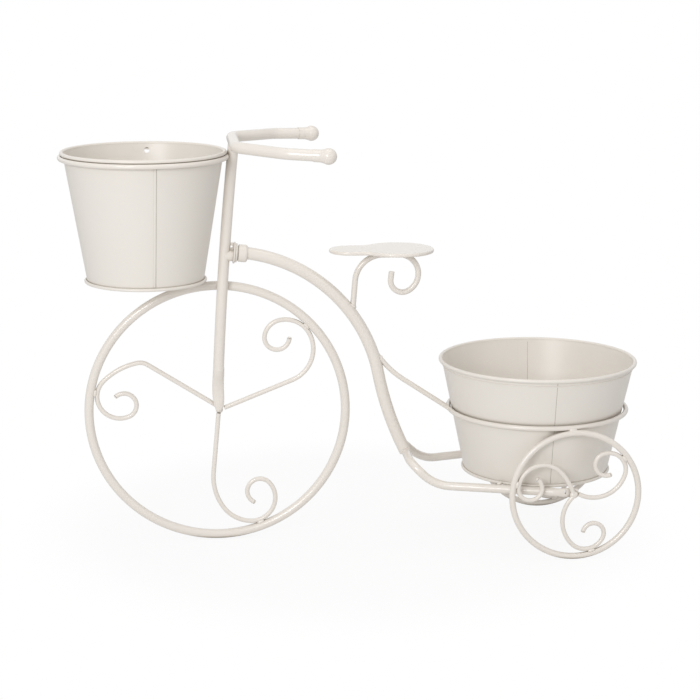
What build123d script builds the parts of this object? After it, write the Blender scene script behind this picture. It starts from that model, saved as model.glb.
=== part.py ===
from build123d import *
import os
from collections import namedtuple
from math import cos, hypot, radians, sin, sqrt

# A plant stand in the shape of a tricycle, all of powder-coated steel.
# Sizes are in millimetres. +X runs from the big front wheel to the two small rear wheels,
# Z is up from the floor, and Y = 0 is the plane of the stem, the frame tube and the saddle.

# Clearances
weld_gap = 0.05
seat_gap = 0.3
bore_gap = 0.05

# Front wheel: one ring of round bar with three scrolls of wire in its plane
front_ring_radius = 128.6
front_ring_bar = 9.0
front_ring_x = -135.1
front_hub_shift = 1.3
front_scroll_wire = 4.6

# Rear wheels: two rings, each with three scrolls of thinner wire
rear_ring_radius = 62.8
rear_ring_bar = 6.0
rear_axle_run = 156.88
rear_hub_shift = -1.6
rear_scroll_wire = 4.4

# Stem: a tube that leans back a little, flattened where it is welded to the front hub
stem_tube = 10.7
stem_wall = 1.2
stem_foot_z = 182.0
stem_foot_x = -134.25
stem_middle_z = 290.0
stem_middle_x = -127.6
stem_top_z = 404.9
stem_top_x = -117.15
stem_flat = 5.0
stem_foot_reach = 4.8
stem_foot_top_rise = 34.9
stem_foot_top_width = 11.4
stem_foot_top_depth = 8.4
stem_foot_top_y = 2.5
stem_foot_middle_rise = 20.9
stem_foot_middle_width = 11.7
stem_foot_low_rise = 10.9
stem_foot_low_width = 10.8
stem_tip_shift = -0.4
stem_tip_rise = 1.4
stem_tip_width = 5.0
stem_tip_depth = 4.0

# Handlebar: one bent tube with a ball cap on each end
bar_tube = 11.0
bar_wall = 1.2
bar_tilt = 2.0
bar_half_width = 46.1
bar_knee_reach = 44.4
bar_knee_half_width = 87.3
bar_end_reach = 83.9
bar_end_half_width = 98.5
bar_corner_radius = 20.0
bar_knee_radius = 30.0
cap_ball = 15.6
cap_sleeve = 12.0
cap_sleeve_length = 14.5
cap_flare_length = 7.5
cap_flare_top = 14.6
cap_flare_to_ball = 1.95

# Coupling between stem and frame tube
coupling_tilt = 5.0
coupling_x = -118.45
coupling_z = 296.1
stub_tube = 11.2
stub_z = 293.3
flange_diameter = 21.4
flange_thickness = 1.6
washer_diameter = 18.8
washer_thickness = 2.1
collar_diameter = 17.4
collar_neck_diameter = 15.0
collar_neck_length = 1.1
collar_length = 10.2
collar_shoulder = 2.6
edge_round = 0.4
stud_diameter = 6.0
stud_in_stub = 2.5
stud_in_collar = 5.0
web_thickness = 2.4
web_top_drop = 0.6
web_hole = 2.6
web_hole_back = 2.0
web_hole_z = 302.2

# Frame tube: a short straight in the collar, a long bend over the wheel and a slight reverse bend
frame_tube = 12.2
frame_wall = 1.2
frame_start_x = -103.05
frame_start_z = 295.1
frame_heading = -9.0
frame_in_collar = 4.5
frame_bend_radius = 156.0
frame_bend_turn = -69.8
frame_sweep_radius = 319.0
frame_sweep_turn = 15.6

# Lower frame: one tube bent to a U, level towards the rear hubs, where its ends are flattened
leg_tube = 8.4
leg_wall = 1.2
leg_z = 67.2
leg_bar_half_width = 46.0
leg_corner_radius = 16.0
leg_drop_run = 23.2
leg_drop_half_width = 48.5
leg_drop_radius = 38.0
leg_flat_before_hub = 10.0
leg_flat_past_hub = 5.0
leg_flat_height = 9.0
leg_tip_height = 6.0
leg_flat_thickness = 3.6
leg_splay_length = 9.0
leg_splay_step = 2.4
leg_slot_length = 4.0
leg_slot_width = 1.4
leg_slot_before_hub = 8.0
leg_slot_rise = 1.0
cross_bar_rod = 4.4
cross_bar_ahead = 48.2

# Strut from the frame tube to the cradle ring
strut_rod = 5.0
strut_along_tube = 169.3
strut_off_centre = 1.2
strut_knee_run = 20.0
strut_knee_drop = 23.9
strut_bend_radius = 90.0

# Saddle: a flat plate on a bent rod that ends in a curl
saddle_rod_diameter = 5.7
saddle_along_tube = 124.51
saddle_off_centre = 2.97
saddle_foot_heading = 85.5
saddle_plate = 3.6
saddle_nose_shift = -2.6
saddle_nose_radius = 21.0
saddle_seat_shift = 44.6
saddle_seat_radius = 36.0
saddle_waist_radius = 14.0
saddle_edge_round = 1.5

# Pots: two half sheets each, a rolled rim and a pressed base
sheet = 0.8
roll = 3.8
hem = 3.2
wall_end_trim = 0.4
base_recess = 3.0
front_pot_height = 125.0
front_wall_top_radius = 77.7
front_wall_base_radius = 57.0
front_hem_radius = 58.3
front_seam_angle = 8.2
front_rim_drop = 9.1
front_hole = 5.5
front_hole_angle = 2.5
front_hole_below_rim = 6.8
rear_pot_ahead = 23.1
rear_pot_height = 111.4
rear_wall_top_radius = 96.7
rear_wall_base_radius = 73.0
rear_hem_radius = 73.8
rear_seam_angle = 1.0

# Wire hoop under the front rim, and cradle ring round the rear pot
hoop_wire = 4.8
hoop_play = 0.3
cradle_wire = 4.8
cradle_play = 1.55
cradle_overhang = 2.6
cradle_shift = 0.45

# A bent rod is a chain of straight runs and round bends. A left-hand turn is positive.
Run = namedtuple("Run", "length")
Bend = namedtuple("Bend", "radius turn")
# A scroll starts at an offset from the hub, and one of its bends touches the ring.
Scroll = namedtuple("Scroll", "name start heading steps touching")

front_scrolls = [
    Scroll("left", (-1.5, 5.4), 147.6, [Run(80.5), Bend(13.9, 43.7), Bend(65, 33.4),
                                        Bend(22.1, 158.9), Bend(12.1, 195.6)], 3),
    Scroll("right", (5.0, 3.5), 21.7, [Run(74.2), Bend(34.2, 95.9), Bend(27.8, 75.3),
                                       Bend(18.9, 69.5), Bend(12.6, 181.7)], 2),
    Scroll("bottom", (-0.8, -1.9), -95.3, [Run(62.8), Bend(55.5, 40.5), Bend(36.3, 49.4),
                                           Bend(24.4, 135.4), Bend(13.0, 200.7)], 3),
]
rear_scrolls = [
    Scroll("left", (-0.8, 1.9), 108.5, [Bend(58.5, 24.8), Bend(24.2, 134.9), Bend(11.8, 234.4)], 1),
    Scroll("right", (4.6, 0.8), -29.9, [Bend(32.0, 103.4), Bend(17.9, 121.9), Bend(11.6, 184.7)], 1),
    Scroll("bottom", (0.0, -1.1), -136.8, [Bend(36.3, 92.1), Bend(20.1, 112.5), Bend(11.2, 187.7)], 1),
]
saddle_steps = [Run(29.8), Bend(27.7, -85.5), Run(16.1), Bend(19.5, -150.8), Bend(11.9, -126.0), Run(7.8)]

# Heights and places worked out from the sizes above
front_ring_z = front_ring_radius + front_ring_bar / 2
front_hub = (front_ring_x + front_hub_shift, front_ring_z)
front_wheel_y = stem_tube / 2 + front_ring_bar / 2 + weld_gap
rear_ring_z = rear_ring_radius + rear_ring_bar / 2
cradle_rise = sqrt(((cradle_wire + rear_ring_bar) / 2 + weld_gap) ** 2 - cradle_overhang**2)
cradle_z = rear_ring_z + rear_ring_radius + cradle_rise


def follow(start, heading, steps):
    """Point and heading at the start of each step of a rod, and at its end."""
    x, z = start
    places = [(x, z, heading)]
    for step in steps:
        if isinstance(step, Run):
            x += step.length * cos(radians(heading))
            z += step.length * sin(radians(heading))
        else:
            side = 1 if step.turn > 0 else -1
            to_centre = radians(heading + side * 90)
            from_centre = radians(heading + step.turn - side * 90)
            x += step.radius * (cos(to_centre) + cos(from_centre))
            z += step.radius * (sin(to_centre) + sin(from_centre))
            heading += step.turn
        places.append((x, z, heading))
    return places


def draw_rod(start, heading, steps):
    """Draw a rod's centre line in the working plane."""
    for (x, z, angle), step in zip(follow(start, heading, steps), steps):
        if isinstance(step, Run):
            PolarLine((x, z), step.length, angle)
        else:
            JernArc((x, z), (cos(radians(angle)), sin(radians(angle))), step.radius, step.turn)


def sized_to_ring(scroll, hub_shift, reach):
    """Steps of a scroll, scaled so that its touching bend reaches just to the ring's inside."""
    x, z, heading = follow((0, 0), scroll.heading, scroll.steps)[scroll.touching]
    radius = scroll.steps[scroll.touching].radius
    centre_x = x - radius * sin(radians(heading))
    centre_z = z + radius * cos(radians(heading))
    start_x = scroll.start[0] + hub_shift
    start_z = scroll.start[1]
    square = centre_x**2 + centre_z**2 - radius**2
    half_linear = start_x * centre_x + start_z * centre_z + reach * radius
    constant = start_x**2 + start_z**2 - reach**2
    scale = (sqrt(half_linear**2 - square * constant) - half_linear) / square
    steps = []
    for step in scroll.steps:
        if isinstance(step, Run):
            steps.append(Run(step.length * scale))
        else:
            steps.append(Bend(step.radius * scale, step.turn))
    return steps


def side_plane(y):
    """Upright plane at the given Y, with its own X along +X and its own Y along +Z."""
    return Plane.XZ.offset(-y)


def start_plane(line):
    """Plane square to a line at its start."""
    return Plane(origin=line @ 0, z_dir=line % 0)


def sweep_round(line, diameter, mode=Mode.ADD):
    """Sweep a round section along a centre line."""
    with BuildSketch(start_plane(line)) as section:
        Circle(diameter / 2)
    sweep(sections=section.sketch, path=line, mode=mode)


def save(builder, label):
    """Label a finished piece and write it to its own file."""
    builder.part.label = label
    export_step(builder.part, f"parts/{label}.step")


# The frame tube starts inside the collar and ends on the lower frame's front bar,
# and the lower frame, the rear wheels and the rear pot take their places from there.
frame_steps = [
    Run(frame_in_collar),
    Bend(frame_bend_radius, frame_bend_turn),
    Bend(frame_sweep_radius, frame_sweep_turn),
]
frame_nose_x = frame_start_x - frame_in_collar * cos(radians(frame_heading))
frame_nose_z = frame_start_z - frame_in_collar * sin(radians(frame_heading))
frame_nose = (frame_nose_x, frame_nose_z)
leg_bar_x, leg_bar_z, _ = follow(frame_nose, frame_heading, frame_steps)[-1]
leg_drop_x = leg_bar_x + leg_drop_run
rear_ring_x = leg_bar_x + rear_axle_run
rear_hub = (rear_ring_x + rear_hub_shift, rear_ring_z)
rear_pot_x = rear_ring_x - rear_pot_ahead
cradle_x = rear_pot_x + cradle_shift
cross_bar_x = rear_pot_x - cross_bar_ahead
front_rim_z = stem_top_z - front_rim_drop

os.makedirs("parts", exist_ok=True)

# Front wheel ring
with BuildPart() as front_ring:
    with Locations(Plane((front_ring_x, front_wheel_y, front_ring_z), x_dir=(1, 0, 0), z_dir=(0, -1, 0))):
        Torus(front_ring_radius, front_ring_bar / 2)
save(front_ring, "front_wheel_ring")

# Front scrolls
front_reach = front_ring_radius - (front_ring_bar + front_scroll_wire) / 2 - weld_gap
for scroll in front_scrolls:
    scroll_start = (front_hub[0] + scroll.start[0], front_hub[1] + scroll.start[1])
    with BuildPart() as front_scroll:
        with BuildLine(side_plane(front_wheel_y)) as scroll_line:
            draw_rod(scroll_start, scroll.heading, sized_to_ring(scroll, front_hub_shift, front_reach))
        sweep_round(scroll_line.line, front_scroll_wire)
    save(front_scroll, f"front_scroll_{scroll.name}")

# Handlebar, drawn in a plane that slopes down a little towards its ends
bar_plane = Plane(
    origin=(stem_top_x, 0, stem_top_z),
    x_dir=(cos(radians(bar_tilt)), 0, -sin(radians(bar_tilt))),
    z_dir=(sin(radians(bar_tilt)), 0, cos(radians(bar_tilt))),
)
with BuildPart() as bar_blank:
    with BuildLine(bar_plane) as bar_line:
        FilletPolyline(
            (bar_end_reach, -bar_end_half_width),
            (bar_knee_reach, -bar_knee_half_width),
            (0, -bar_half_width),
            (0, bar_half_width),
            (bar_knee_reach, bar_knee_half_width),
            (bar_end_reach, bar_end_half_width),
            radius=(bar_knee_radius, bar_corner_radius, bar_corner_radius, bar_knee_radius),
        )
    sweep_round(bar_line.line, bar_tube)
with BuildPart() as handlebar:
    add(bar_blank.part)
    sweep_round(bar_line.line, bar_tube - 2 * bar_wall, Mode.SUBTRACT)
save(handlebar, "handlebar")

# Ball caps, pushed over the handlebar's ends
cap_flare_height = cap_flare_length - cap_flare_to_ball
for cap_name, end, outward in (("near", 0, -1), ("far", 1, 1)):
    with BuildPart() as cap:
        with Locations(Plane(origin=bar_line.line @ end, z_dir=(bar_line.line % end) * outward)):
            Sphere(cap_ball / 2)
            with Locations((0, 0, -cap_flare_length)):
                Cone(cap_sleeve / 2, cap_flare_top / 2, cap_flare_height,
                     align=(Align.CENTER, Align.CENTER, Align.MIN))
            with Locations((0, 0, -cap_sleeve_length)):
                Cylinder(cap_sleeve / 2, cap_sleeve_length, align=(Align.CENTER, Align.CENTER, Align.MIN))
                Cylinder(bar_tube / 2 + bore_gap, cap_sleeve_length + bore_gap, mode=Mode.SUBTRACT,
                         align=(Align.CENTER, Align.CENTER, Align.MIN))
    save(cap, f"grip_{cap_name}")

# Stem: a bent tube, coped under the handlebar, with a flattened foot that lies against the hub
foot_back = front_wheel_y - front_scroll_wire / 2 - weld_gap
foot_right = front_hub[0] + stem_foot_reach
foot_flat_y = foot_back - stem_flat / 2
foot_sections = [
    (foot_right - stem_foot_top_width / 2, stem_foot_top_y, stem_foot_top_rise,
     stem_foot_top_width, stem_foot_top_depth),
    (foot_right - stem_foot_middle_width / 2, foot_flat_y, stem_foot_middle_rise,
     stem_foot_middle_width, stem_flat),
    (foot_right - stem_foot_low_width / 2, foot_flat_y, stem_foot_low_rise,
     stem_foot_low_width, stem_flat),
    (front_hub[0] + stem_tip_shift, foot_back - stem_tip_depth / 2, stem_tip_rise,
     stem_tip_width, stem_tip_depth),
]
with BuildPart() as stem_blank:
    with BuildLine(Plane.XZ) as stem_line:
        ThreePointArc((stem_foot_x, stem_foot_z), (stem_middle_x, stem_middle_z), (stem_top_x, stem_top_z))
    sweep_round(stem_line.line, stem_tube)
    with BuildSketch(start_plane(stem_line.line)):
        Circle(stem_tube / 2)
    for x, y, rise, width, depth in foot_sections:
        with BuildSketch(Plane.XY.offset(front_hub[1] + rise)):
            with Locations((x, y)):
                Ellipse(width / 2, depth / 2)
    loft()
    add(bar_blank.part, mode=Mode.SUBTRACT)
with BuildPart() as stem:
    add(stem_blank.part)
    sweep_round(stem_line.line, stem_tube - 2 * stem_wall, Mode.SUBTRACT)
save(stem, "stem")

# Coupling, all on one axis that leans down towards the rear
coupling_axis = (cos(radians(coupling_tilt)), 0, -sin(radians(coupling_tilt)))
flange_back = Plane(origin=(coupling_x, 0, coupling_z), x_dir=(0, 1, 0), z_dir=coupling_axis)
washer_back = flange_back.offset(flange_thickness + weld_gap)
collar_back = washer_back.offset(washer_thickness + weld_gap)
collar_body = collar_back.offset(collar_neck_length)
stud_start = flange_back.offset(-stud_in_stub)
stud_length = stud_in_stub + flange_thickness + washer_thickness + 2 * weld_gap + stud_in_collar
forward = (Align.CENTER, Align.CENTER, Align.MIN)
with BuildPart() as stud:
    with Locations(stud_start):
        Cylinder(stud_diameter / 2, stud_length, align=forward)
save(stud, "coupling_stud")
with BuildPart() as stud_bore:
    with Locations(stud_start.offset(-bore_gap)):
        Cylinder(stud_diameter / 2 + bore_gap, stud_length + 2 * bore_gap, align=forward)

with BuildPart() as flange:
    with Locations(flange_back):
        Cylinder(flange_diameter / 2, flange_thickness, align=forward)
    fillet(flange.edges().filter_by(GeomType.CIRCLE), edge_round)
    add(stud_bore.part, mode=Mode.SUBTRACT)
save(flange, "coupling_flange")

with BuildPart() as washer:
    with Locations(washer_back):
        Cylinder(washer_diameter / 2, washer_thickness, align=forward)
    fillet(washer.edges().filter_by(GeomType.CIRCLE), edge_round)
    add(stud_bore.part, mode=Mode.SUBTRACT)
save(washer, "coupling_washer")

# Lower frame: down from the front bar, then level and outwards to the insides of the rear hubs
highest_hem_z = leg_z + (leg_tube + hem) / 2
cradle_radius = (
    rear_wall_base_radius
    + cradle_play
    + cradle_wire / 2
    + (rear_wall_top_radius - rear_wall_base_radius) * (cradle_z - highest_hem_z) / rear_pot_height
)
half_track = sqrt(cradle_radius**2 - (rear_ring_x - cradle_x) ** 2) + cradle_overhang
flat_y = half_track - rear_scroll_wire / 2 - leg_flat_thickness / 2 - weld_gap
flat_x = rear_hub[0] - leg_flat_before_hub
leg_end_x = flat_x - leg_splay_length
leg_end_y = flat_y - leg_splay_step
flat_places = [flat_x, rear_hub[0], rear_hub[0] + leg_flat_past_hub]
with BuildPart() as lower_blank:
    with BuildLine() as lower_line:
        FilletPolyline(
            (leg_end_x, -leg_end_y, leg_z),
            (leg_drop_x, -leg_drop_half_width, leg_z),
            (leg_bar_x, -leg_bar_half_width, leg_bar_z),
            (leg_bar_x, leg_bar_half_width, leg_bar_z),
            (leg_drop_x, leg_drop_half_width, leg_z),
            (leg_end_x, leg_end_y, leg_z),
            radius=(leg_drop_radius, leg_corner_radius, leg_corner_radius, leg_drop_radius),
        )
    sweep_round(lower_line.line, leg_tube)
    for end, side in ((0, -1), (1, 1)):
        with BuildSketch(Plane(lower_line.line @ end, x_dir=(0, 0, 1), z_dir=(lower_line.line % end) * side)):
            Circle(leg_tube / 2)
        for place, height in zip(flat_places, (leg_flat_height, leg_flat_height, leg_tip_height)):
            with BuildSketch(Plane((place, side * flat_y, leg_z), x_dir=(0, 0, 1), z_dir=(1, 0, 0))):
                Ellipse(height / 2, leg_flat_thickness / 2)
        loft()
slot_plane = Plane((rear_hub[0] - leg_slot_before_hub, 0, leg_z + leg_slot_rise), x_dir=(0, 0, 1), z_dir=(0, 1, 0))
with BuildPart() as lower_frame:
    add(lower_blank.part)
    sweep_round(lower_line.line, leg_tube - 2 * leg_wall, Mode.SUBTRACT)
    with BuildSketch(slot_plane):
        SlotOverall(leg_slot_length, leg_slot_width)
    extrude(amount=half_track, both=True, mode=Mode.SUBTRACT)
save(lower_frame, "lower_frame")

with BuildPart() as frame_blank:
    with BuildLine(Plane.XZ) as frame_line:
        draw_rod(frame_nose, frame_heading, frame_steps)
    sweep_round(frame_line.line, frame_tube)
    add(lower_blank.part, mode=Mode.SUBTRACT)
with BuildPart() as frame:
    add(frame_blank.part)
    sweep_round(frame_line.line, frame_tube - 2 * frame_wall, Mode.SUBTRACT)
save(frame, "frame_tube")


def beside_tube(distance, offset):
    """Point at a distance along the frame tube, and at an offset above its centre line."""
    centre_line = frame_line.wire()
    place = centre_line.position_at(distance, PositionMode.LENGTH)
    heading = centre_line.tangent_at(distance, PositionMode.LENGTH)
    return (place.X - heading.Z * offset, place.Z + heading.X * offset)


strut_start = beside_tube(strut_along_tube, strut_off_centre)
saddle_foot = beside_tube(saddle_along_tube, saddle_off_centre)
saddle_nose_x = saddle_foot[0] + saddle_nose_shift
saddle_seat_x = saddle_foot[0] + saddle_seat_shift

# Collar: a necked sleeve screwed on the stud and welded over the nose of the frame tube
with BuildPart() as collar:
    with Locations(collar_body):
        Cylinder(collar_diameter / 2, collar_length - collar_neck_length, align=forward)
    far_edge = collar.edges().filter_by(GeomType.CIRCLE).sort_by(Axis.X)
    fillet(far_edge[-1], collar_shoulder)
    fillet(collar.edges().filter_by(GeomType.CIRCLE).sort_by(Axis.X)[0], edge_round)
    with Locations(collar_back):
        Cylinder(collar_neck_diameter / 2, collar_neck_length + edge_round, align=forward)
    add(stud_bore.part, mode=Mode.SUBTRACT)
    add(frame_blank.part, mode=Mode.SUBTRACT)
save(collar, "coupling_collar")

# Stub on the stem, and the web that stiffens the flange above it
with BuildPart() as stub_blank:
    with BuildSketch(Plane((stem_middle_x, 0, stub_z), x_dir=(0, 1, 0), z_dir=(1, 0, 0))):
        Circle(stub_tube / 2)
    extrude(amount=coupling_x - stem_middle_x + flange_thickness)
    split(bisect_by=flange_back.offset(-weld_gap), keep=Keep.BOTTOM)
    add(stem_blank.part, mode=Mode.SUBTRACT)
with BuildPart() as stub:
    add(stub_blank.part)
    add(stud_bore.part, mode=Mode.SUBTRACT)
save(stub, "coupling_stub")

web_top = coupling_z + flange_diameter / 2 - web_top_drop
with BuildPart() as web:
    with BuildSketch(Plane.XZ):
        with BuildLine():
            Polyline(
                (stem_middle_x, stub_z),
                (coupling_x + flange_thickness, stub_z),
                (coupling_x + flange_thickness, web_top),
                (stem_middle_x, web_top),
                close=True,
            )
        make_face()
        with Locations((coupling_x - web_hole_back, web_hole_z)):
            Circle(web_hole / 2, mode=Mode.SUBTRACT)
    extrude(amount=web_thickness / 2, both=True)
    split(bisect_by=flange_back.offset(-weld_gap), keep=Keep.BOTTOM)
    add(stem_blank.part, mode=Mode.SUBTRACT)
    add(stub_blank.part, mode=Mode.SUBTRACT)
    add(stud_bore.part, mode=Mode.SUBTRACT)
save(web, "coupling_web")

# Cradle ring, which rests against the tops of both rear wheels
with BuildPart() as cradle:
    with Locations((cradle_x, 0, cradle_z)):
        Torus(cradle_radius, cradle_wire / 2)
save(cradle, "cradle_ring")

# Rear wheels
rear_reach = rear_ring_radius - (rear_ring_bar + rear_scroll_wire) / 2 - weld_gap
for side_name, side in (("near", -1), ("far", 1)):
    with BuildPart() as rear_ring:
        with Locations(Plane((rear_ring_x, side * half_track, rear_ring_z), x_dir=(1, 0, 0), z_dir=(0, -1, 0))):
            Torus(rear_ring_radius, rear_ring_bar / 2)
    save(rear_ring, f"rear_wheel_ring_{side_name}")
    for scroll in rear_scrolls:
        scroll_start = (rear_hub[0] + scroll.start[0], rear_hub[1] + scroll.start[1])
        with BuildPart() as rear_scroll:
            with BuildLine(side_plane(side * half_track)) as scroll_line:
                draw_rod(scroll_start, scroll.heading, sized_to_ring(scroll, rear_hub_shift, rear_reach))
            sweep_round(scroll_line.line, rear_scroll_wire)
        save(rear_scroll, f"rear_scroll_{side_name}_{scroll.name}")

# Strut from the frame tube to the front of the cradle ring
with BuildPart() as strut:
    with BuildLine(Plane.XZ) as strut_line:
        FilletPolyline(
            strut_start,
            (strut_start[0] + strut_knee_run, strut_start[1] - strut_knee_drop),
            (cradle_x - cradle_radius, cradle_z),
            radius=strut_bend_radius,
        )
    sweep_round(strut_line.line, strut_rod)
    add(frame_blank.part, mode=Mode.SUBTRACT)
    add(cradle.part, mode=Mode.SUBTRACT)
save(strut, "strut")

# Saddle rod and saddle plate
with BuildPart() as saddle_rod:
    with BuildLine(Plane.XZ) as saddle_line:
        draw_rod(saddle_foot, saddle_foot_heading, saddle_steps)
    sweep_round(saddle_line.line, saddle_rod_diameter)
    add(frame_blank.part, mode=Mode.SUBTRACT)
save(saddle_rod, "saddle_rod")

saddle_seat_z = follow(saddle_foot, saddle_foot_heading, saddle_steps)[2][1] + saddle_rod_diameter / 2 + weld_gap
with BuildPart() as saddle:
    with BuildSketch(Plane.XY.offset(saddle_seat_z)) as saddle_outline:
        with Locations((saddle_nose_x, 0)):
            Circle(saddle_nose_radius)
            Rectangle(saddle_seat_x - saddle_nose_x, 2 * saddle_nose_radius, align=(Align.MIN, Align.CENTER))
        with Locations((saddle_seat_x, 0)):
            Circle(saddle_seat_radius)
        waist = [
            corner
            for corner in saddle_outline.vertices()
            if abs(abs(corner.Y) - saddle_nose_radius) < 0.01 and corner.X > saddle_nose_x + 1
        ]
        fillet(waist, saddle_waist_radius)
    extrude(amount=saddle_plate)
    fillet(saddle.faces().filter_by(Axis.Z).edges(), saddle_edge_round)
save(saddle, "saddle")

# Places of the two pots
stem_arc = stem_line.edges()[0]
stem_centre = stem_arc.arc_center
stem_at_rim_x = stem_centre.X - sqrt(stem_arc.radius**2 - (front_rim_z - stem_centre.Z) ** 2)
front_rim_radius = front_wall_top_radius - sheet + roll / 2
front_pot_x = stem_at_rim_x - stem_tube / 2 - seat_gap - front_rim_radius - roll / 2
leg_straight = hypot(leg_end_x - leg_drop_x, leg_end_y - leg_drop_half_width)
leg_reach = (
    (rear_pot_x - leg_drop_x) * (leg_end_y - leg_drop_half_width)
    + leg_drop_half_width * (leg_end_x - leg_drop_x)
) / leg_straight
leg_touch = (leg_tube + hem) / 2 + seat_gap
rear_hem_z = leg_z + sqrt(leg_touch**2 - (leg_reach - rear_hem_radius) ** 2)

# Cross bar between the legs, just under the rear pot
cross_bar_z = rear_hem_z - hem / 2 - seat_gap - cross_bar_rod / 2
cross_bar_share = (cross_bar_x - leg_drop_x) / (leg_end_x - leg_drop_x)
cross_bar_half = leg_drop_half_width + cross_bar_share * (leg_end_y - leg_drop_half_width)
with BuildPart() as cross_bar:
    with Locations(Plane((cross_bar_x, 0, cross_bar_z), x_dir=(1, 0, 0), z_dir=(0, 1, 0))):
        Cylinder(cross_bar_rod / 2, 2 * cross_bar_half)
    add(lower_blank.part, mode=Mode.SUBTRACT)
save(cross_bar, "cross_bar")

# Hoop under the front rim, welded into the side of the stem
hoop_radius = front_wall_top_radius + hoop_play + hoop_wire / 2
hoop_drop = sqrt(((roll + hoop_wire) / 2 + seat_gap) ** 2 - (hoop_radius - front_rim_radius) ** 2)
with BuildPart() as hoop:
    with Locations((front_pot_x, 0, front_rim_z - hoop_drop)):
        Torus(hoop_radius, hoop_wire / 2)
    add(stem_blank.part, mode=Mode.SUBTRACT)
save(hoop, "front_hoop")


def build_pot(name, x, hem_z, height, top_radius, base_radius, hem_radius, seam_angle):
    """Build a pot's rim, base and two wall sheets, and write each to its own file."""
    axis = Axis((x, 0, 0), (0, 0, 1))
    rim_z = hem_z + height
    inside_base = base_radius - sheet
    floor_z = hem_z + base_recess
    with BuildPart() as rim:
        with Locations((x, 0, rim_z)):
            Torus(top_radius - sheet + roll / 2, roll / 2)
    save(rim, f"{name}_rim")

    with BuildPart() as base:
        with BuildSketch(Plane((x, 0, 0), x_dir=(1, 0, 0), z_dir=(0, -1, 0))) as base_profile:
            with BuildLine():
                Polyline(
                    (0, floor_z - sheet),
                    (inside_base - weld_gap - sheet, floor_z - sheet),
                    (inside_base - weld_gap - sheet, hem_z - hem / 2),
                    (hem_radius, hem_z - hem / 2),
                    (hem_radius, hem_z - hem / 2 + sheet),
                    (inside_base - weld_gap, hem_z - hem / 2 + sheet),
                    (inside_base - weld_gap, floor_z),
                    (0, floor_z),
                    close=True,
                )
            make_face()
        revolve(base_profile.sketch, axis=axis)
        with Locations((x, 0, hem_z)):
            Torus(hem_radius, hem / 2)
    save(base, f"{name}_base")

    for half, turn in (("rear_half", 0), ("front_half", 180)):
        angle = radians(seam_angle + turn)
        seam = (sin(angle), -cos(angle), 0)
        with BuildPart() as wall:
            with BuildSketch(Plane((x, 0, 0), x_dir=seam, z_dir=(seam[1], -seam[0], 0))) as wall_profile:
                with BuildLine():
                    Polyline(
                        (inside_base, hem_z),
                        (base_radius, hem_z),
                        (top_radius, rim_z),
                        (top_radius - sheet, rim_z),
                        close=True,
                    )
                make_face()
            revolve(wall_profile.sketch, axis=axis, revolution_arc=180)
            split(bisect_by=Plane.XY.offset(rim_z - wall_end_trim), keep=Keep.BOTTOM)
            split(bisect_by=Plane.XY.offset(hem_z + wall_end_trim), keep=Keep.TOP)
            add(rim.part, mode=Mode.SUBTRACT)
            add(base.part, mode=Mode.SUBTRACT)
            if turn == 0 and name == "front_pot":
                hole_angle = radians(front_hole_angle)
                outward = (sin(hole_angle), cos(hole_angle), 0)
                with Locations(Plane((x, 0, rim_z - front_hole_below_rim), z_dir=outward)):
                    Cylinder(front_hole / 2, top_radius + sheet, mode=Mode.SUBTRACT, align=forward)
        save(wall, f"{name}_wall_{half}")


build_pot("front_pot", front_pot_x, front_rim_z - front_pot_height, front_pot_height,
          front_wall_top_radius, front_wall_base_radius, front_hem_radius, front_seam_angle)
build_pot("rear_pot", rear_pot_x, rear_hem_z, rear_pot_height,
          rear_wall_top_radius, rear_wall_base_radius, rear_hem_radius, rear_seam_angle)
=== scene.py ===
"""Dressing of the bicycle plant stand: coats, welds, pot seams, floor, light and camera."""

import logging
import math
from dataclasses import dataclass, field
from enum import Enum

import bpy
from mathutils import Matrix, Vector
from mathutils.bvhtree import BVHTree


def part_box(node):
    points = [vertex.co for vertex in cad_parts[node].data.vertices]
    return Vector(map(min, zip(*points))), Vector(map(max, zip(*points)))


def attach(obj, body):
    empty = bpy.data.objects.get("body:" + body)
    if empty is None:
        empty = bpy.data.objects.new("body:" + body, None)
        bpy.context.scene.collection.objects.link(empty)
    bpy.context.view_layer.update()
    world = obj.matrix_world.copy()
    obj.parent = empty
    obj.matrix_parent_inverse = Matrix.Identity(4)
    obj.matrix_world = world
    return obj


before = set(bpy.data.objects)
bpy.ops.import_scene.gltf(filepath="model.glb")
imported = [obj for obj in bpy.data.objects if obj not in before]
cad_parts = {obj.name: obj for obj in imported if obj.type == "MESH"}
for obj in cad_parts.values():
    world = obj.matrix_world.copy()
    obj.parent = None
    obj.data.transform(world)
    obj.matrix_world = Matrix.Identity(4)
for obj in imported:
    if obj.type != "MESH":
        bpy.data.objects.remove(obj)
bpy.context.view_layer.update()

log = logging.getLogger("plant_stand")

MM = 0.001
CLOUD_SCALE = 16.0
GLOSS_SWING = (-0.04, 0.05)
CREVICE_SHADE_REACH = 6.0 * MM
CREVICE_SHADE_OPEN = 0.72
CREVICE_SHADE_CLOSED = 0.12
WORLD_DIFFUSE = 0.56


class Body(Enum):
    """The bodies that a piece can ride on."""

    STAND = "stand"
    FRONT_POT = "front_pot"
    REAR_POT = "rear_pot"


class Slot(Enum):
    """The material slots of the record."""

    FRAME = "frame_coat"
    POT = "pot_coat"
    STEEL = "bare_steel"


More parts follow.
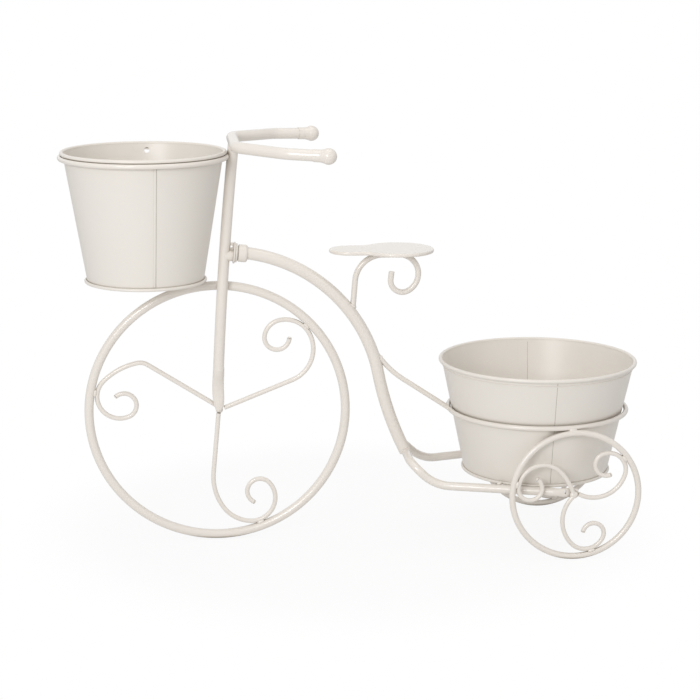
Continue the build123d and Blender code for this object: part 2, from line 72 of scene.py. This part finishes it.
# Finishes
def coat_group() -> bpy.types.NodeTree:
    """Build the shared node group of a sprayed coat: colour drift, painted crevice shade, gloss and peel.

    Returns:
        The node group, with Color, Roughness and Height outputs.
    """
    group = bpy.data.node_groups.new("sprayed_coat", "ShaderNodeTree")
    sockets = (
        ("Colour", "INPUT", "NodeSocketColor"),
        ("Shade", "INPUT", "NodeSocketColor"),
        ("Painted shade colour", "INPUT", "NodeSocketColor"),
        ("Painted shade strength", "INPUT", "NodeSocketFloat"),
        ("Drift", "INPUT", "NodeSocketFloat"),
        ("Peel size", "INPUT", "NodeSocketFloat"),
        ("Roughness", "INPUT", "NodeSocketFloat"),
        ("Color", "OUTPUT", "NodeSocketColor"),
        ("Roughness", "OUTPUT", "NodeSocketFloat"),
        ("Height", "OUTPUT", "NodeSocketFloat"),
    )
    for name, way, kind in sockets:
        group.interface.new_socket(name, in_out=way, socket_type=kind)
    nodes = group.nodes
    links = group.links
    start = nodes.new("NodeGroupInput")
    end = nodes.new("NodeGroupOutput")
    place = nodes.new("ShaderNodeTexCoord")

    cloud = nodes.new("ShaderNodeTexNoise")
    cloud.inputs["Scale"].default_value = CLOUD_SCALE
    cloud.inputs["Detail"].default_value = 3.0
    links.new(place.outputs["Object"], cloud.inputs["Vector"])
    cloud_share = nodes.new("ShaderNodeMath")
    cloud_share.operation = "MULTIPLY"
    links.new(cloud.outputs["Fac"], cloud_share.inputs[0])
    links.new(start.outputs["Drift"], cloud_share.inputs[1])
    tint = nodes.new("ShaderNodeMix")
    tint.data_type = "RGBA"
    links.new(cloud_share.outputs[0], tint.inputs["Factor"])
    links.new(start.outputs["Colour"], tint.inputs["A"])
    links.new(start.outputs["Shade"], tint.inputs["B"])

    # Painted shade: where ambient occlusion finds surfaces close by, the colour is mixed towards a dark
    # shade colour.
    nearby = nodes.new("ShaderNodeAmbientOcclusion")
    nearby.samples = 16
    nearby.inputs["Distance"].default_value = CREVICE_SHADE_REACH
    closed = nodes.new("ShaderNodeMapRange")
    closed.inputs["From Min"].default_value = CREVICE_SHADE_OPEN
    closed.inputs["From Max"].default_value = CREVICE_SHADE_CLOSED
    links.new(nearby.outputs["AO"], closed.inputs["Value"])
    closed_share = nodes.new("ShaderNodeMath")
    closed_share.operation = "MULTIPLY"
    links.new(closed.outputs["Result"], closed_share.inputs[0])
    links.new(start.outputs["Painted shade strength"], closed_share.inputs[1])
    shaded_colour = nodes.new("ShaderNodeMix")
    shaded_colour.data_type = "RGBA"
    links.new(closed_share.outputs[0], shaded_colour.inputs["Factor"])
    links.new(tint.outputs["Result"], shaded_colour.inputs["A"])
    links.new(start.outputs["Painted shade colour"], shaded_colour.inputs["B"])
    links.new(shaded_colour.outputs["Result"], end.inputs["Color"])

    peel = nodes.new("ShaderNodeTexNoise")
    peel.inputs["Detail"].default_value = 1.5
    links.new(place.outputs["Object"], peel.inputs["Vector"])
    links.new(start.outputs["Peel size"], peel.inputs["Scale"])
    links.new(peel.outputs["Fac"], end.inputs["Height"])

    gloss = nodes.new("ShaderNodeMapRange")
    gloss.inputs["To Min"].default_value = GLOSS_SWING[0]
    gloss.inputs["To Max"].default_value = GLOSS_SWING[1]
    links.new(cloud.outputs["Fac"], gloss.inputs["Value"])
    rough = nodes.new("ShaderNodeMath")
    rough.operation = "ADD"
    links.new(start.outputs["Roughness"], rough.inputs[0])
    links.new(gloss.outputs["Result"], rough.inputs[1])
    links.new(rough.outputs[0], end.inputs["Roughness"])
    return group


@dataclass(frozen=True)
class SprayedCoat:
    """A cream coat of baked powder on steel."""

    name: str
    colour: tuple[float, float, float]
    shade: tuple[float, float, float]
    # The next two fields set the painted shade in crevices: its colour and how strongly it is mixed in.
    painted_shade_colour: tuple[float, float, float]
    painted_shade_strength: float
    drift: float
    peel_size: float
    peel_depth: float
    roughness: float
    coat: float
    coat_roughness: float

    def material(self, group: bpy.types.NodeTree) -> bpy.types.Material:
        """Build the material.

        Args:
            group: the shared node group of a sprayed coat.

        Returns:
            The finished material.
        """
        made = bpy.data.materials.new(self.name)
        made.use_nodes = True
        nodes = made.node_tree.nodes
        links = made.node_tree.links
        shader = nodes["Principled BSDF"]
        shader.inputs["Coat Weight"].default_value = self.coat
        shader.inputs["Coat Roughness"].default_value = self.coat_roughness
        shader.inputs["Specular IOR Level"].default_value = 0.5
        surface = nodes.new("ShaderNodeGroup")
        surface.node_tree = group
        surface.inputs["Colour"].default_value = (*self.colour, 1.0)
        surface.inputs["Shade"].default_value = (*self.shade, 1.0)
        surface.inputs["Painted shade colour"].default_value = (*self.painted_shade_colour, 1.0)
        surface.inputs["Painted shade strength"].default_value = self.painted_shade_strength
        surface.inputs["Drift"].default_value = self.drift
        surface.inputs["Peel size"].default_value = self.peel_size
        surface.inputs["Roughness"].default_value = self.roughness
        links.new(surface.outputs["Color"], shader.inputs["Base Color"])
        links.new(surface.outputs["Roughness"], shader.inputs["Roughness"])
        bump = nodes.new("ShaderNodeBump")
        bump.inputs["Strength"].default_value = 1.0
        bump.inputs["Distance"].default_value = self.peel_depth
        links.new(surface.outputs["Height"], bump.inputs["Height"])
        links.new(bump.outputs["Normal"], shader.inputs["Normal"])
        return made


@dataclass(frozen=True)
class TurnedSteel:
    """Bare steel with the fine rings that a lathe leaves."""

    name: str = "turned_steel"
    light: tuple[float, float, float] = (0.62, 0.61, 0.60)
    dark: tuple[float, float, float] = (0.44, 0.43, 0.42)

    def material(self) -> bpy.types.Material:
        """Build the material and return it."""
        made = bpy.data.materials.new(self.name)
        made.use_nodes = True
        nodes = made.node_tree.nodes
        links = made.node_tree.links
        shader = nodes["Principled BSDF"]
        shader.inputs["Metallic"].default_value = 1.0
        shader.inputs["Roughness"].default_value = 0.35
        place = nodes.new("ShaderNodeTexCoord")
        rings = nodes.new("ShaderNodeTexWave")
        rings.inputs["Scale"].default_value = 900.0
        rings.inputs["Distortion"].default_value = 0.6
        ramp = nodes.new("ShaderNodeValToRGB")
        ramp.color_ramp.elements[0].color = (*self.dark, 1.0)
        ramp.color_ramp.elements[1].color = (*self.light, 1.0)
        links.new(place.outputs["Object"], rings.inputs["Vector"])
        links.new(rings.outputs["Fac"], ramp.inputs["Fac"])
        links.new(ramp.outputs["Color"], shader.inputs["Base Color"])
        return made


@dataclass(frozen=True)
class WhiteGround:
    """A pale floor that keeps the shadow near the object and turns into the white page farther out."""

    name: str = "white_ground"
    colour: tuple[float, float, float] = (0.85, 0.85, 0.85)
    middle: tuple[float, float, float] = (0.0, 0.05, 0.0)
    fade_start: float = 0.22
    fade_end: float = 0.36
    least_white: float = 0.90

    def material(self) -> bpy.types.Material:
        """Build the material and return it."""
        made = bpy.data.materials.new(self.name)
        made.use_nodes = True
        nodes = made.node_tree.nodes
        links = made.node_tree.links
        shader = nodes["Principled BSDF"]
        shader.inputs["Roughness"].default_value = 0.9
        shader.inputs["Specular IOR Level"].default_value = 0.1
        place = nodes.new("ShaderNodeTexCoord")
        grain = nodes.new("ShaderNodeTexNoise")
        grain.inputs["Scale"].default_value = 40.0
        tint = nodes.new("ShaderNodeMapRange")
        tint.inputs["To Min"].default_value = self.colour[0] - 0.004
        tint.inputs["To Max"].default_value = self.colour[0] + 0.004
        links.new(place.outputs["Object"], grain.inputs["Vector"])
        links.new(grain.outputs["Fac"], tint.inputs["Value"])
        links.new(tint.outputs["Result"], shader.inputs["Base Color"])

        offset = nodes.new("ShaderNodeVectorMath")
        offset.operation = "DISTANCE"
        offset.inputs[1].default_value = self.middle
        links.new(place.outputs["Object"], offset.inputs[0])
        fade = nodes.new("ShaderNodeMapRange")
        fade.interpolation_type = "SMOOTHSTEP"
        fade.inputs["From Min"].default_value = self.fade_start
        fade.inputs["From Max"].default_value = self.fade_end
        fade.inputs["To Min"].default_value = self.least_white
        links.new(offset.outputs["Value"], fade.inputs["Value"])
        rays = nodes.new("ShaderNodeLightPath")
        seen = nodes.new("ShaderNodeMath")
        seen.operation = "MULTIPLY"
        links.new(rays.outputs["Is Camera Ray"], seen.inputs[0])
        links.new(fade.outputs["Result"], seen.inputs[1])
        page = nodes.new("ShaderNodeEmission")
        mix = nodes.new("ShaderNodeMixShader")
        links.new(seen.outputs[0], mix.inputs["Fac"])
        links.new(shader.outputs["BSDF"], mix.inputs[1])
        links.new(page.outputs["Emission"], mix.inputs[2])
        links.new(mix.outputs["Shader"], nodes["Material Output"].inputs["Surface"])
        return made


# Modelling helpers
def clear_selection() -> None:
    """Deselect every object."""
    bpy.ops.object.select_all(action="DESELECT")


def pick(piece: bpy.types.Object) -> None:
    """Select one object alone and make it the active one."""
    clear_selection()
    piece.select_set(True)
    bpy.context.view_layer.objects.active = piece


def settle(piece: bpy.types.Object, name: str) -> bpy.types.Object:
    """Name a new piece, put its place into its mesh and shade it smooth.

    Args:
        piece: the object that an operator has just made.
        name: its new name.

    Returns:
        The same object, at the origin, unturned and unscaled.
    """
    pick(piece)
    bpy.ops.object.transform_apply(location=True, rotation=True, scale=True)
    bpy.ops.object.shade_smooth()
    piece.name = name
    piece.data.name = name
    return piece


def join(pieces: list[bpy.types.Object], name: str) -> bpy.types.Object:
    """Join pieces into one object.

    Args:
        pieces: the objects to join.
        name: the name of the joined object.

    Returns:
        The joined object.
    """
    clear_selection()
    for piece in pieces:
        piece.select_set(True)
    bpy.context.view_layer.objects.active = pieces[0]
    if len(pieces) > 1:
        bpy.ops.object.join()
    return settle(bpy.context.view_layer.objects.active, name)


def turned_to(axis: Vector, along: Vector) -> Matrix:
    """Rotation whose Z is one direction and whose X lies nearest to another.

    Args:
        axis: the direction for Z.
        along: the direction for X, as far as it is square to the axis.

    Returns:
        A 4 x 4 rotation matrix.
    """
    z = axis.normalized()
    x = along - z * along.dot(z)
    if x.length < 1e-6:
        x = z.orthogonal()
    x.normalize()
    y = z.cross(x)
    return Matrix((x, y, z)).transposed().to_4x4()


@dataclass
class Nugget:
    """One small run of weld metal under the coat."""

    centre: Vector
    turn: Matrix
    half: tuple[float, float, float]
    seed: int = 0

    def build(self) -> bpy.types.Object:
        """Model the nugget: a lump with a few ripples, softened and slightly uneven.

        Returns:
            The new object.
        """
        bpy.ops.mesh.primitive_uv_sphere_add(segments=20, ring_count=12, radius=1.0)
        lump = bpy.context.view_layer.objects.active
        bpy.ops.object.mode_set(mode="EDIT")
        bpy.ops.transform.resize(value=self.half)
        bpy.ops.object.mode_set(mode="OBJECT")
        cloud = bpy.data.textures.new("weld_lumps", "CLOUDS")
        cloud.noise_scale = 0.9 * max(self.half)
        cloud.noise_depth = 1
        rough = lump.modifiers.new("lumps", "DISPLACE")
        rough.texture = cloud
        rough.texture_coords = "GLOBAL"
        rough.strength = 0.3 * min(self.half)
        rough.mid_level = 0.5
        lump.matrix_world = Matrix.Translation(self.centre) @ self.turn
        pick(lump)
        bpy.ops.object.modifier_apply(modifier=rough.name)
        return settle(lump, "nugget")


class SolidReader:
    """Reads places from the CAD nodes: middles, flat ends and where two of them meet."""

    meeting_width = 12 * MM

    def __init__(self) -> None:
        """Start with nothing read."""
        self.trees: dict[str, BVHTree] = {}

    def middle(self, node: str) -> Vector:
        """Middle of a node's box."""
        low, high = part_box(node)
        return (low + high) / 2

    def tree(self, node: str) -> BVHTree:
        """Search tree over the faces of a node."""
        if node not in self.trees:
            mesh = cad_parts[node].data
            corners = [corner.co.copy() for corner in mesh.vertices]
            faces = [tuple(face.vertices) for face in mesh.polygons]
            self.trees[node] = BVHTree.FromPolygons(corners, faces)
        return self.trees[node]

    def meeting(self, node: str, other: str, reach: float = 0.35 * MM) -> tuple[Vector, Vector]:
        """Find where a node comes nearest to another.

        Args:
            node: the node whose corners are tried.
            other: the node that it meets.
            reach: how much farther than the nearest corner another may lie and still count.

        Returns:
            The middle of the meeting, and the direction from the node to the other.
        """
        tree = self.tree(other)
        found = []
        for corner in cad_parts[node].data.vertices:
            spot, _, _, gap = tree.find_nearest(corner.co)
            if spot is not None:
                found.append((gap, corner.co.copy(), spot))
        least = min(found, key=lambda item: item[0])
        near = [
            item
            for item in found
            if item[0] < least[0] + reach and (item[1] - least[1]).length < self.meeting_width
        ]
        spot = sum((item[1] + item[2] for item in near), Vector()) / (2 * len(near))
        way = self.middle(other) - self.middle(node)
        aim = least[2] - least[1]
        if aim.length > 1e-5:
            way = aim
        return spot, way.normalized()

    def flat_ends(self, node: str, radius: float) -> list[tuple[Vector, Vector]]:
        """Find the flat round ends of a rod.

        Args:
            node: the rod.
            radius: the rod's radius.

        Returns:
            The middle and the outward direction of each end.
        """
        sums: dict[tuple[int, ...], list[object]] = {}
        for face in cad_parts[node].data.polygons:
            normal = face.normal
            key = (
                round(normal.x * 500),
                round(normal.y * 500),
                round(normal.z * 500),
                round(normal.dot(face.center) / (0.05 * MM)),
            )
            held = sums.setdefault(key, [0.0, Vector(), normal.copy()])
            held[0] += face.area
            held[1] += face.center * face.area
        whole = math.pi * radius * radius
        return [
            (place / area, way)
            for area, place, way in sums.values()
            if 0.7 * whole < area < 1.3 * whole
        ]


# Sub-assemblies
@dataclass
class Dressing:
    """What every sub-assembly shares: its coat, its body and the pieces it has made."""

    coat: bpy.types.Material
    reader: SolidReader
    body: Body = Body.STAND
    slot: Slot = Slot.FRAME
    pieces: list[bpy.types.Object] = field(default_factory=list)

    def coat_nodes(self, names: list[str]) -> None:
        """Give CAD nodes the coat."""
        for name in names:
            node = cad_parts[name]
            node.data.materials.clear()
            node.data.materials.append(self.coat)

    def keep(self, piece: bpy.types.Object) -> None:
        """Coat a new piece, let it ride on the body and report it."""
        piece.data.materials.clear()
        piece.data.materials.append(self.coat)
        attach(piece, self.body.value)
        self.pieces.append(piece)
        log.info("%s: %d faces", piece.name, len(piece.data.polygons))

    def bead(self, node: str, other: str, half: tuple[float, float, float], along: Vector,
             shift: Vector = Vector()) -> bpy.types.Object:
        """Lay a nugget where two nodes meet.

        Args:
            node: the rod or ring that is welded on.
            other: the node that carries it.
            half: half sizes, along, across and through the meeting.
            along: the direction of the nugget's length.
            shift: how far the nugget lies off the middle of the meeting.

        Returns:
            The new nugget.
        """
        spot, way = self.reader.meeting(node, other)
        return Nugget(spot + shift, turned_to(way, along), half).build()


@dataclass
class ScrolledWheel(Dressing):
    """A wheel ring with its three scrolls, welded at the hub and where each scroll meets the ring."""

    ring: str = "front_wheel_ring"
    scrolls: tuple[str, ...] = ()
    wire: float = 4.6 * MM
    hub_half: tuple[float, float, float] = (6.0 * MM, 6.0 * MM, 2.6 * MM)
    hub_shift: Vector = Vector((0, 0, 0))
    prefix: str = "front_wheel"

    def build(self) -> None:
        """Coat the solids, round the wire ends and lay the welds."""
        self.coat_nodes([self.ring, *self.scrolls])
        across = Vector((0, 1, 0))
        centre = self.reader.middle(self.ring)
        welds = []
        ends = []
        for scroll in self.scrolls:
            spot, _ = self.reader.meeting(scroll, self.ring)
            way = spot - centre
            way.y = 0
            way.normalize()
            along = across.cross(way)
            half = (0.85 * self.wire, 0.42 * self.wire, 0.42 * self.wire)
            for side in (-1, 1):
                place = Vector((spot.x, centre.y + side * 0.34 * self.wire, spot.z))
                welds.append(Nugget(place, turned_to(way, along), half).build())
            flats = self.reader.flat_ends(scroll, self.wire / 2)
            far = max(flats, key=lambda end: (end[0] - centre).length)
            ends.append(self.dome(*far))
        hub = Nugget(centre + self.hub_shift, turned_to(across, Vector((1, 0, 0))), self.hub_half)
        welds.append(hub.build())
        self.keep(join(welds, f"{self.prefix}_welds"))
        self.keep(join(ends, f"{self.prefix}_wire_ends"))

    def dome(self, place: Vector, way: Vector) -> bpy.types.Object:
        """Model a rounded end for a wire: half a ball, closed by a flat face that sits in the wire.

        Args:
            place: the middle of the wire's flat end.
            way: the direction in which the wire ends.

        Returns:
            The new object.
        """
        radius = self.wire / 2
        bpy.ops.mesh.primitive_uv_sphere_add(segments=24, ring_count=12, radius=radius)
        ball = bpy.context.view_layer.objects.active
        bpy.ops.object.mode_set(mode="EDIT")
        bpy.ops.mesh.select_all(action="SELECT")
        bpy.ops.mesh.bisect(
            plane_co=(0, 0, -0.08 * radius), plane_no=(0, 0, 1), use_fill=True, clear_inner=True)
        bpy.ops.mesh.select_all(action="SELECT")
        bpy.ops.transform.resize(value=(0.995, 0.995, 0.55))
        bpy.ops.object.mode_set(mode="OBJECT")
        ball.matrix_world = Matrix.Translation(place) @ turned_to(way, Vector((0, 1, 0)))
        return settle(ball, "dome")


@dataclass
class FrameWelds(Dressing):
    """The welds between stem, handlebar, hoop, frame tube, struts, legs, cradle ring and saddle."""

    def build(self) -> None:
        """Coat the solids and lay the welds."""
        names = [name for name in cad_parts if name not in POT_NODES and name != "coupling_stud"]
        self.coat_nodes(names)
        side = Vector((0, 1, 0))
        length = Vector((1, 0, 0))
        up = Vector((0, 0, 1))
        plans = {
            "hoop_weld": [("front_hoop", "stem", (3.4 * MM, 3.0 * MM, 2.6 * MM), side)],
            "handlebar_weld": [("stem", "handlebar", (5.9 * MM, 5.0 * MM, 1.9 * MM), side)],
            "strut_welds": [
                ("strut", "frame_tube", (3.6 * MM, 3.0 * MM, 1.8 * MM), length),
                ("strut", "cradle_ring", (3.4 * MM, 2.9 * MM, 1.8 * MM), side),
            ],
            "saddle_welds": [
                ("saddle_rod", "frame_tube", (4.0 * MM, 3.8 * MM, 2.0 * MM), up),
                ("saddle_rod", "saddle", (8.0 * MM, 2.6 * MM, 1.2 * MM), length),
            ],
            "frame_foot_weld": [("frame_tube", "lower_frame", (6.4 * MM, 4.4 * MM, 2.2 * MM), side)],
            "cradle_welds": [
                ("rear_wheel_ring_near", "cradle_ring", (4.4 * MM, 3.0 * MM, 2.6 * MM), length),
                ("rear_wheel_ring_far", "cradle_ring", (4.4 * MM, 3.0 * MM, 2.6 * MM), length),
            ],
        }
        for name, beads in plans.items():
            self.keep(join([self.bead(*bead) for bead in beads], name))
        ends = []
        for place, way in self.reader.flat_ends("cross_bar", 2.2 * MM):
            ends.append(Nugget(place, turned_to(way, length), (2.6 * MM, 2.6 * MM, 1.6 * MM)).build())
        low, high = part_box("cross_bar")
        for y in (low.y, high.y):
            place = Vector(((low.x + high.x) / 2, y, high.z + 2.7 * MM))
            ends.append(Nugget(place, Matrix.Identity(4), (2.5 * MM, 2.2 * MM, 2.3 * MM)).build())
        self.keep(join(ends, "cross_bar_welds"))


@dataclass
class SheetPot(Dressing):
    """A sheet-steel pot: its coat, the pressed line below the rim and the seams of its wall.

    With a lap the near seam is a raised strip with one dark line at its side. Without one it is a dark
    line alone, and the far seam shows as a dark line on the inside. Each dark line is partly the joint's
    own darker colour and partly painted shade, of the lap's step beside a lap and of the gap without one.
    """

    name: str = "front_pot"
    slot: Slot = Slot.POT
    top_radius: float = 77.7 * MM
    base_radius: float = 57.0 * MM
    height: float = 125.0 * MM
    lap: float = 0.0
    lap_depth: float = 0.6 * MM
    near_seam: float = 8.2
    far_seam: float = 0.0
    sheet: float = 0.8 * MM
    joint_line: float = 0.42 * MM
    joint_proud: float = 0.09 * MM
    joint_line_and_shadow_coat: bpy.types.Material | None = None
    line_below_rim: float = 5.6 * MM
    line_height: float = 1.3 * MM
    line_depth: float = 0.45 * MM

    def build(self) -> None:
        """Coat the solids, then add the pressed line and the seams."""
        self.coat_nodes([f"{self.name}_{part}" for part in POT_PARTS])
        low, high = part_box(f"{self.name}_rim")
        self.centre = Vector(((low.x + high.x) / 2, (low.y + high.y) / 2, 0))
        self.rim_z = (low.z + high.z) / 2
        self.keep(self.pressed_line())
        edge = (self.lap + self.joint_line) / 2
        if self.lap:
            lap = self.strip(self.near_seam, 0.0, self.lap, self.lap_depth)
            self.keep(join([lap], f"{self.name}_lap"))
            lines = [self.strip(self.near_seam, edge, self.joint_line, self.joint_proud)]
        else:
            lines = [
                self.strip(self.near_seam, 0.0, self.joint_line, self.joint_proud),
                self.strip(180.0 - self.far_seam, 0.0, self.joint_line, self.joint_proud, self.sheet),
            ]
        self.keep(join(lines, f"{self.name}_joint_lines"))
        # The dark lines get their own colour: partly the joint's darker colour, partly painted shade at
        # the seam.
        if self.joint_line_and_shadow_coat is not None:
            self.pieces[-1].data.materials[0] = self.joint_line_and_shadow_coat

    def radius_at(self, z: float) -> float:
        """Outside radius of the wall at a height."""
        share = (self.rim_z - z) / self.height
        return self.top_radius - (self.top_radius - self.base_radius) * share

    def pressed_line(self) -> bpy.types.Object:
        """Model the pressed line below the rim, a shallow rounded ridge all round.

        Returns:
            The new object.
        """
        z = self.rim_z - self.line_below_rim
        bpy.ops.mesh.primitive_torus_add(
            major_segments=160, minor_segments=12,
            major_radius=self.radius_at(z), minor_radius=self.line_depth)
        ridge = bpy.context.view_layer.objects.active
        bpy.ops.object.mode_set(mode="EDIT")
        bpy.ops.mesh.select_all(action="SELECT")
        bpy.ops.transform.resize(value=(1, 1, self.line_height / (2 * self.line_depth)))
        bpy.ops.object.mode_set(mode="OBJECT")
        ridge.matrix_world = Matrix.Translation(self.centre + Vector((0, 0, z)))
        return settle(ridge, f"{self.name}_pressed_line")

    def strip(self, angle: float, shift: float, width: float, depth: float,
              inset: float = 0.0) -> bpy.types.Object:
        """Model one upright strip that follows the slope of the wall.

        Args:
            angle: the strip's angle round the pot from the near side, in degrees.
            shift: how far the strip lies beside that angle.
            width: its width round the pot.
            depth: how far it stands proud of the sheet.
            inset: how far it lies inside the wall's outer face, 0 for the outside.

        Returns:
            The new object.
        """
        top = self.rim_z - 2.6 * MM
        bottom = self.rim_z - self.height + 2.4 * MM
        bpy.ops.mesh.primitive_cube_add(size=1.0)
        made = bpy.context.view_layer.objects.active
        bpy.ops.object.mode_set(mode="EDIT")
        bpy.ops.mesh.select_all(action="SELECT")
        bpy.ops.transform.resize(value=(width, 2 * depth, top - bottom))
        bpy.ops.mesh.subdivide(number_cuts=4)
        bpy.ops.object.mode_set(mode="OBJECT")
        for corner in made.data.vertices:
            z = corner.co.z + (top + bottom) / 2
            radius = self.radius_at(z) + corner.co.y - inset
            turn = (corner.co.x + shift) / radius + math.radians(angle)
            corner.co = Vector((radius * math.sin(turn), -radius * math.cos(turn), z))
        if depth > 0.3 * MM:
            bevel = made.modifiers.new("edge", "BEVEL")
            bevel.width = 0.35 * MM
            bevel.segments = 3
            bevel.limit_method = "ANGLE"
            pick(made)
            bpy.ops.object.modifier_apply(modifier=bevel.name)
        pick(made)
        bpy.ops.object.mode_set(mode="EDIT")
        bpy.ops.mesh.select_all(action="SELECT")
        bpy.ops.mesh.normals_make_consistent(inside=False)
        bpy.ops.object.mode_set(mode="OBJECT")
        made.matrix_world = Matrix.Translation(self.centre)
        return settle(made, "strip")


POT_PARTS = ("rim", "base", "wall_front_half", "wall_rear_half")
POT_NODES = {f"{pot}_{part}" for pot in ("front_pot", "rear_pot") for part in POT_PARTS}


# Studio
@dataclass
class Studio:
    """Floor, lamps, world and camera."""

    azimuth: float = -5.842
    elevation: float = 12.582
    roll: float = 0.150
    distance: float = 1.950
    target: tuple[float, float, float] = (-0.00292, 0.0, 0.19569)
    focal_pixels: float = 1950.0
    picture_pixels: float = 700.0
    sensor: float = 36.0

    def build(self) -> None:
        """Build the floor, the light and the camera."""
        self.floor()
        self.lamps()
        self.world()
        self.camera()

    def floor(self) -> None:
        """Lay a wide flat floor under the object."""
        bpy.ops.mesh.primitive_plane_add(size=60.0, location=(0, 0, 0))
        floor = settle(bpy.context.view_layer.objects.active, "floor")
        floor.data.materials.append(WhiteGround().material())

    def lamps(self) -> None:
        """Hang soft area lamps above, at the front left and at the front right."""
        plans = (
            ("overhead", (0.0, -0.1, 2.2), (0, 0, 0.2), 1.6, 9.0, (1.0, 0.97, 0.93)),
            ("key", (-1.15, -2.2, 1.1), (0, 0, 0.2), 0.9, 24.0, (0.97, 0.98, 1.0)),
            ("front_right", (1.9, -1.7, 1.1), (0, 0, 0.2), 1.4, 3.0, (1.0, 0.98, 0.96)),
        )
        for name, place, aim, size, power, colour in plans:
            lamp = bpy.data.lights.new(name, "AREA")
            lamp.shape = "SQUARE"
            lamp.size = size
            lamp.energy = power
            lamp.color = colour
            holder = bpy.data.objects.new(name, lamp)
            holder.matrix_world = (
                Matrix.Translation(Vector(place))
                @ (Vector(place) - Vector(aim)).to_track_quat("Z", "Y").to_matrix().to_4x4()
            )
            bpy.context.scene.collection.objects.link(holder)

    def world(self) -> None:
        """Light softly from all round, and show white to the camera and in reflections."""
        world = bpy.data.worlds.new("studio")
        world.use_nodes = True
        bpy.context.scene.world = world
        nodes = world.node_tree.nodes
        links = world.node_tree.links
        shine = nodes["Background"]
        shine.inputs["Color"].default_value = (1.0, 1.0, 1.0, 1.0)
        rays = nodes.new("ShaderNodeLightPath")
        seen = nodes.new("ShaderNodeMath")
        seen.operation = "MAXIMUM"
        strength = nodes.new("ShaderNodeMapRange")
        strength.inputs["To Min"].default_value = WORLD_DIFFUSE
        strength.inputs["To Max"].default_value = 1.0
        links.new(rays.outputs["Is Camera Ray"], seen.inputs[0])
        links.new(rays.outputs["Is Glossy Ray"], seen.inputs[1])
        links.new(seen.outputs[0], strength.inputs["Value"])
        links.new(strength.outputs["Result"], shine.inputs["Strength"])

    def camera(self) -> None:
        """Set the camera at the photograph's place, turn and lens."""
        turn = math.radians(self.azimuth)
        rise = math.radians(self.elevation)
        back = Vector((math.sin(turn) * math.cos(rise), -math.cos(turn) * math.cos(rise), math.sin(rise)))
        right = Vector((math.cos(turn), math.sin(turn), 0))
        up = back.cross(right)
        tilt = math.radians(self.roll)
        right_now = right * math.cos(tilt) + up * math.sin(tilt)
        up_now = up * math.cos(tilt) - right * math.sin(tilt)
        lens = bpy.data.cameras.new("camera")
        lens.sensor_width = self.sensor
        lens.lens = self.focal_pixels * self.sensor / self.picture_pixels
        lens.clip_start = 0.05
        lens.clip_end = 100.0
        holder = bpy.data.objects.new("camera", lens)
        place = Vector(self.target) + back * self.distance
        turned = Matrix((right_now, up_now, back)).transposed().to_4x4()
        holder.matrix_world = Matrix.Translation(place) @ turned
        bpy.context.scene.collection.objects.link(holder)
        bpy.context.scene.camera = holder


# In each coat, the crevice colour and depth give the painted shade in its crevices.
FRAME_COAT = SprayedCoat(
    name="cream_frame_coat", colour=(0.82, 0.770, 0.710), shade=(0.78, 0.725, 0.655),
    painted_shade_colour=(0.30, 0.24, 0.16), painted_shade_strength=0.85, drift=0.5, peel_size=520.0,
    peel_depth=0.00006, roughness=0.30, coat=0.5, coat_roughness=0.12)
POT_COAT = SprayedCoat(
    name="cream_pot_coat", colour=(0.81, 0.768, 0.708), shade=(0.77, 0.723, 0.658),
    painted_shade_colour=(0.30, 0.24, 0.16), painted_shade_strength=0.85, drift=0.5, peel_size=420.0,
    peel_depth=0.00005, roughness=0.40, coat=0.30, coat_roughness=0.28)


# Colour of the dark seam lines: partly the joint's own darker colour, partly painted shade at the lap and
# gap.
JOINT_LINE_AND_SHADOW_COAT = SprayedCoat(
    name="dark_joint_and_painted_shadow", colour=(0.50, 0.46, 0.40), shade=(0.40, 0.36, 0.31),
    painted_shade_colour=(0.20, 0.16, 0.11), painted_shade_strength=0.5, drift=0.9, peel_size=420.0, peel_depth=0.00005,
    roughness=0.5, coat=0.1, coat_roughness=0.3)


def main() -> None:
    """Build every part of the scene in order and report it."""
    logging.basicConfig(level=logging.INFO, format="%(message)s")
    clear_selection()
    bpy.context.scene.view_settings.view_transform = "Standard"
    Studio().build()
    group = coat_group()
    frame_coat = FRAME_COAT.material(group)
    pot_coat = POT_COAT.material(group)
    reader = SolidReader()

    FrameWelds(frame_coat, reader).build()
    ScrolledWheel(
        frame_coat, reader, ring="front_wheel_ring",
        scrolls=("front_scroll_left", "front_scroll_right", "front_scroll_bottom"),
        hub_half=(3.8 * MM, 3.8 * MM, 2.4 * MM),
        hub_shift=Vector((1.3 * MM, 0.8 * MM, 1.6 * MM)), prefix="front_wheel").build()
    for side in ("near", "far"):
        ScrolledWheel(
            frame_coat, reader, ring=f"rear_wheel_ring_{side}",
            scrolls=tuple(f"rear_scroll_{side}_{turn}" for turn in ("left", "right", "bottom")),
            wire=4.4 * MM, hub_half=(4.2 * MM, 3.7 * MM, 2.5 * MM),
            hub_shift=Vector((-1.6 * MM, 0, 0)), prefix=f"rear_wheel_{side}").build()
    joint_line_and_shadow_coat = JOINT_LINE_AND_SHADOW_COAT.material(group)
    SheetPot(
        pot_coat, reader, body=Body.FRONT_POT, name="front_pot", lap=2.3 * MM,
        joint_line_and_shadow_coat=joint_line_and_shadow_coat).build()
    SheetPot(
        pot_coat, reader, body=Body.REAR_POT, name="rear_pot", top_radius=96.7 * MM,
        base_radius=73.0 * MM, height=111.4 * MM, near_seam=0.7, far_seam=4.9,
        joint_line_and_shadow_coat=joint_line_and_shadow_coat).build()

    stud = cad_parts["coupling_stud"]
    stud.data.materials.clear()
    stud.data.materials.append(TurnedSteel().material())
    log.info("all pieces built")


if __name__ == "__main__":
    main()
